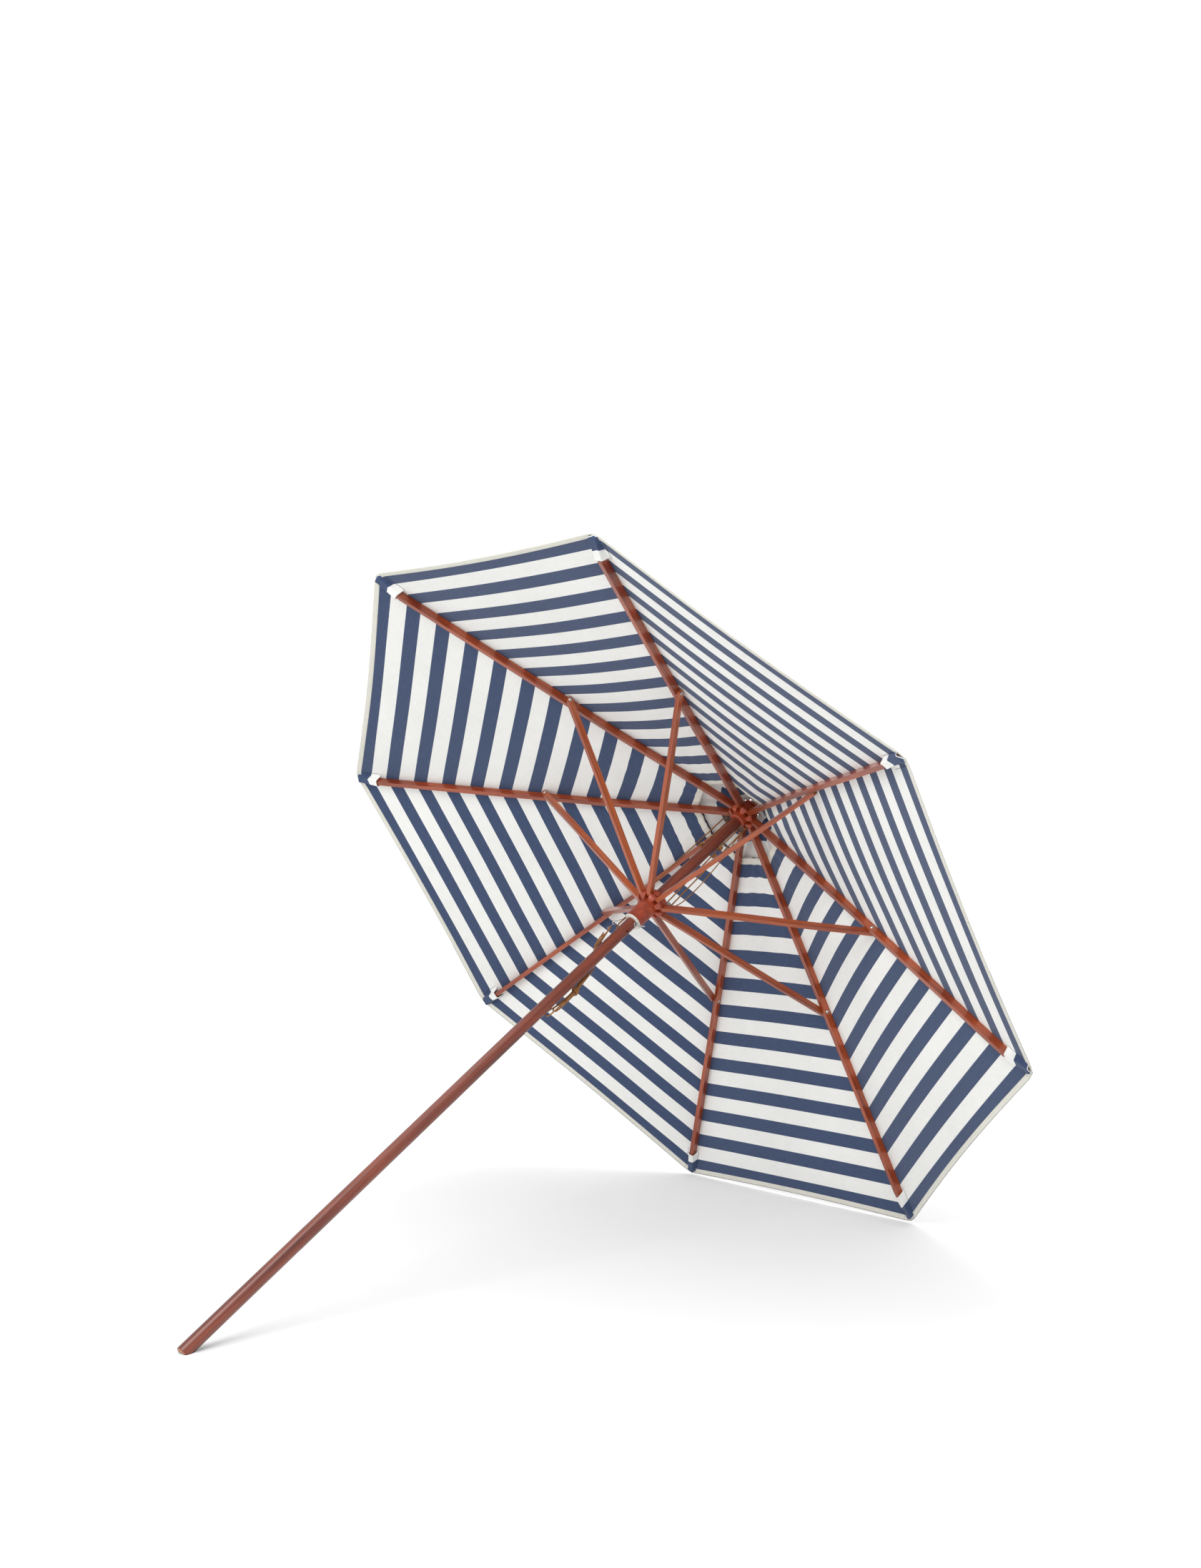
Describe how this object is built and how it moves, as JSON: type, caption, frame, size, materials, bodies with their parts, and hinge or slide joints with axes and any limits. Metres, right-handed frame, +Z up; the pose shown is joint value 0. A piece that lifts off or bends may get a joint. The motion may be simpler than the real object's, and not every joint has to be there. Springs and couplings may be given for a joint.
{
  "type": "wooden beach parasol",
  "caption": "Wooden beach parasol with a striped cloth canopy, vent cap, hinged ribs and struts, and a corded runner that slides on the pole.",
  "frame": {"origin": "middle of the pole's cut foot", "axes": "+Z up along the pole towards the crown; +X along the spoke of rib 1, the ribs numbered anticlockwise from above"},
  "size_m": [2.7, 2.7, 2.584],
  "materials": {
    "wood_dark": "dark mahogany stain, satin varnish",
    "wood_hub": "mahogany stain, satin varnish",
    "wood_rib": "mahogany stain, satin varnish",
    "wire_dark": "dull drawn wire",
    "white_plastic": "smooth, slightly dull",
    "steel": "bright plated steel",
    "pulley_steel": "zinc-plated, dull",
    "sheave": "dark moulded plastic",
    "canopy_cloth": "woven cotton-look canopy cloth, blue and white stripes",
    "cord": "braided cord, tan"
  },
  "bodies": {
    "pole": {"pole": "wood_dark", "finial": "wood_hub", "crown_hub": "wood_hub", "crown_wire": "wire_dark", "pulley_1": "pulley_steel", "pulley_2": "pulley_steel", "cord_run_1": "cord", "cord_run_2": "cord"},
    "runner": {"runner_hub": "wood_hub", "runner_wire": "wire_dark", "runner_washer": "white_plastic", "lock_pin": "steel", "pulley_3": "pulley_steel", "pulley_4": "pulley_steel", "cord_tail": "cord", "cord_hank": "cord"},
    "rib_1": {"rib_1": "wood_rib", "bolt_1": "steel", "canopy_1": "canopy_cloth", "vent_cap_1": "canopy_cloth"},
    "strut_1": {"strut_1": "wood_rib"},
    "rib_2": {"rib_2": "wood_rib", "bolt_2": "steel", "canopy_2": "canopy_cloth", "vent_cap_2": "canopy_cloth"},
    "strut_2": {"strut_2": "wood_rib"},
    "rib_3": {"rib_3": "wood_rib", "bolt_3": "steel", "canopy_3": "canopy_cloth", "vent_cap_3": "canopy_cloth"},
    "strut_3": {"strut_3": "wood_rib"},
    "rib_4": {"rib_4": "wood_rib", "bolt_4": "steel", "canopy_4": "canopy_cloth", "vent_cap_4": "canopy_cloth"},
    "strut_4": {"strut_4": "wood_rib"},
    "rib_5": {"rib_5": "wood_rib", "bolt_5": "steel", "canopy_5": "canopy_cloth", "vent_cap_5": "canopy_cloth"},
    "strut_5": {"strut_5": "wood_rib"},
    "rib_6": {"rib_6": "wood_rib", "bolt_6": "steel", "canopy_6": "canopy_cloth", "vent_cap_6": "canopy_cloth"},
    "strut_6": {"strut_6": "wood_rib"},
    "rib_7": {"rib_7": "wood_rib", "bolt_7": "steel", "canopy_7": "canopy_cloth", "vent_cap_7": "canopy_cloth"},
    "strut_7": {"strut_7": "wood_rib"},
    "rib_8": {"rib_8": "wood_rib", "bolt_8": "steel", "canopy_8": "canopy_cloth", "vent_cap_8": "canopy_cloth"},
    "strut_8": {"strut_8": "wood_rib"},
    "wheel_1": {"sheave_1": "sheave"},
    "wheel_2": {"sheave_2": "sheave"},
    "wheel_3": {"sheave_3": "sheave"},
    "wheel_4": {"sheave_4": "sheave"}
  },
  "joints": [
    {"name": "runner_slide", "type": "slide", "parent": "pole", "child": "runner", "axis": [0, 0, 1], "range_m": [-0.8385, 0], "deforming": ["cord_run_1", "cord_run_2"]},
    {"name": "rib_1_hinge", "type": "hinge", "parent": "pole", "child": "rib_1", "pos_m": [0.042, 0, 2.466], "axis": [0, 1, 0], "range_deg": [0, 64], "deforming": ["canopy_1", "vent_cap_1"]},
    {"name": "strut_1_hinge", "type": "hinge", "parent": "rib_1", "child": "strut_1", "pos_m": [0.66599, 0, 2.21389], "axis": [0, 1, 0], "range_deg": [-128, 0]},
    {"name": "rib_2_hinge", "type": "hinge", "parent": "pole", "child": "rib_2", "pos_m": [0.0297, 0.0297, 2.466], "axis": [-0.7071, 0.7071, 0], "range_deg": [0, 64], "deforming": ["canopy_2", "vent_cap_2"]},
    {"name": "strut_2_hinge", "type": "hinge", "parent": "rib_2", "child": "strut_2", "pos_m": [0.47093, 0.47093, 2.21389], "axis": [-0.7071, 0.7071, 0], "range_deg": [-128, 0]},
    {"name": "rib_3_hinge", "type": "hinge", "parent": "pole", "child": "rib_3", "pos_m": [0, 0.042, 2.466], "axis": [-1, 0, 0], "range_deg": [0, 64], "deforming": ["canopy_3", "vent_cap_3"]},
    {"name": "strut_3_hinge", "type": "hinge", "parent": "rib_3", "child": "strut_3", "pos_m": [0, 0.66599, 2.21389], "axis": [-1, 0, 0], "range_deg": [-128, 0]},
    {"name": "rib_4_hinge", "type": "hinge", "parent": "pole", "child": "rib_4", "pos_m": [-0.0297, 0.0297, 2.466], "axis": [-0.7071, -0.7071, 0], "range_deg": [0, 64], "deforming": ["canopy_4", "vent_cap_4"]},
    {"name": "strut_4_hinge", "type": "hinge", "parent": "rib_4", "child": "strut_4", "pos_m": [-0.47093, 0.47093, 2.21389], "axis": [-0.7071, -0.7071, 0], "range_deg": [-128, 0]},
    {"name": "rib_5_hinge", "type": "hinge", "parent": "pole", "child": "rib_5", "pos_m": [-0.042, 0, 2.466], "axis": [0, -1, 0], "range_deg": [0, 64], "deforming": ["canopy_5", "vent_cap_5"]},
    {"name": "strut_5_hinge", "type": "hinge", "parent": "rib_5", "child": "strut_5", "pos_m": [-0.66599, 0, 2.21389], "axis": [0, -1, 0], "range_deg": [-128, 0]},
    {"name": "rib_6_hinge", "type": "hinge", "parent": "pole", "child": "rib_6", "pos_m": [-0.0297, -0.0297, 2.466], "axis": [0.7071, -0.7071, 0], "range_deg": [0, 64], "deforming": ["canopy_6", "vent_cap_6"]},
    {"name": "strut_6_hinge", "type": "hinge", "parent": "rib_6", "child": "strut_6", "pos_m": [-0.47093, -0.47093, 2.21389], "axis": [0.7071, -0.7071, 0], "range_deg": [-128, 0]},
    {"name": "rib_7_hinge", "type": "hinge", "parent": "pole", "child": "rib_7", "pos_m": [0, -0.042, 2.466], "axis": [1, 0, 0], "range_deg": [0, 64], "deforming": ["canopy_7", "vent_cap_7"]},
    {"name": "strut_7_hinge", "type": "hinge", "parent": "rib_7", "child": "strut_7", "pos_m": [0, -0.66599, 2.21389], "axis": [1, 0, 0], "range_deg": [-128, 0]},
    {"name": "rib_8_hinge", "type": "hinge", "parent": "pole", "child": "rib_8", "pos_m": [0.0297, -0.0297, 2.466], "axis": [0.7071, 0.7071, 0], "range_deg": [0, 64], "deforming": ["canopy_8", "vent_cap_8"]},
    {"name": "strut_8_hinge", "type": "hinge", "parent": "rib_8", "child": "strut_8", "pos_m": [0.47093, -0.47093, 2.21389], "axis": [0.7071, 0.7071, 0], "range_deg": [-128, 0]},
    {"name": "wheel_1_spin", "type": "hinge", "parent": "pole", "child": "wheel_1", "pos_m": [-0.01186, 0.02864, 2.414], "axis": [-0.9239, -0.3827, 0], "continuous": true},
    {"name": "wheel_2_spin", "type": "hinge", "parent": "pole", "child": "wheel_2", "pos_m": [0.01186, -0.02864, 2.414], "axis": [0.9239, 0.3827, 0], "continuous": true},
    {"name": "wheel_3_spin", "type": "hinge", "parent": "runner", "child": "wheel_3", "pos_m": [-0.01607, 0.0388, 1.99778], "axis": [-0.9239, -0.3827, 0], "continuous": true},
    {"name": "wheel_4_spin", "type": "hinge", "parent": "runner", "child": "wheel_4", "pos_m": [0.01378, -0.03326, 1.99778], "axis": [0.9239, 0.3827, 0], "continuous": true}
  ],
  "couplings": [
    {"joint": "rib_1_hinge", "follows": "runner_slide", "rad_per_m": -1.3322},
    {"joint": "strut_1_hinge", "follows": "runner_slide", "rad_per_m": 2.6643},
    {"joint": "rib_2_hinge", "follows": "runner_slide", "rad_per_m": -1.3322},
    {"joint": "strut_2_hinge", "follows": "runner_slide", "rad_per_m": 2.6643},
    {"joint": "rib_3_hinge", "follows": "runner_slide", "rad_per_m": -1.3322},
    {"joint": "strut_3_hinge", "follows": "runner_slide", "rad_per_m": 2.6643},
    {"joint": "rib_4_hinge", "follows": "runner_slide", "rad_per_m": -1.3322},
    {"joint": "strut_4_hinge", "follows": "runner_slide", "rad_per_m": 2.6643},
    {"joint": "rib_5_hinge", "follows": "runner_slide", "rad_per_m": -1.3322},
    {"joint": "strut_5_hinge", "follows": "runner_slide", "rad_per_m": 2.6643},
    {"joint": "rib_6_hinge", "follows": "runner_slide", "rad_per_m": -1.3322},
    {"joint": "strut_6_hinge", "follows": "runner_slide", "rad_per_m": 2.6643},
    {"joint": "rib_7_hinge", "follows": "runner_slide", "rad_per_m": -1.3322},
    {"joint": "strut_7_hinge", "follows": "runner_slide", "rad_per_m": 2.6643},
    {"joint": "rib_8_hinge", "follows": "runner_slide", "rad_per_m": -1.3322},
    {"joint": "strut_8_hinge", "follows": "runner_slide", "rad_per_m": 2.6643}
  ]
}
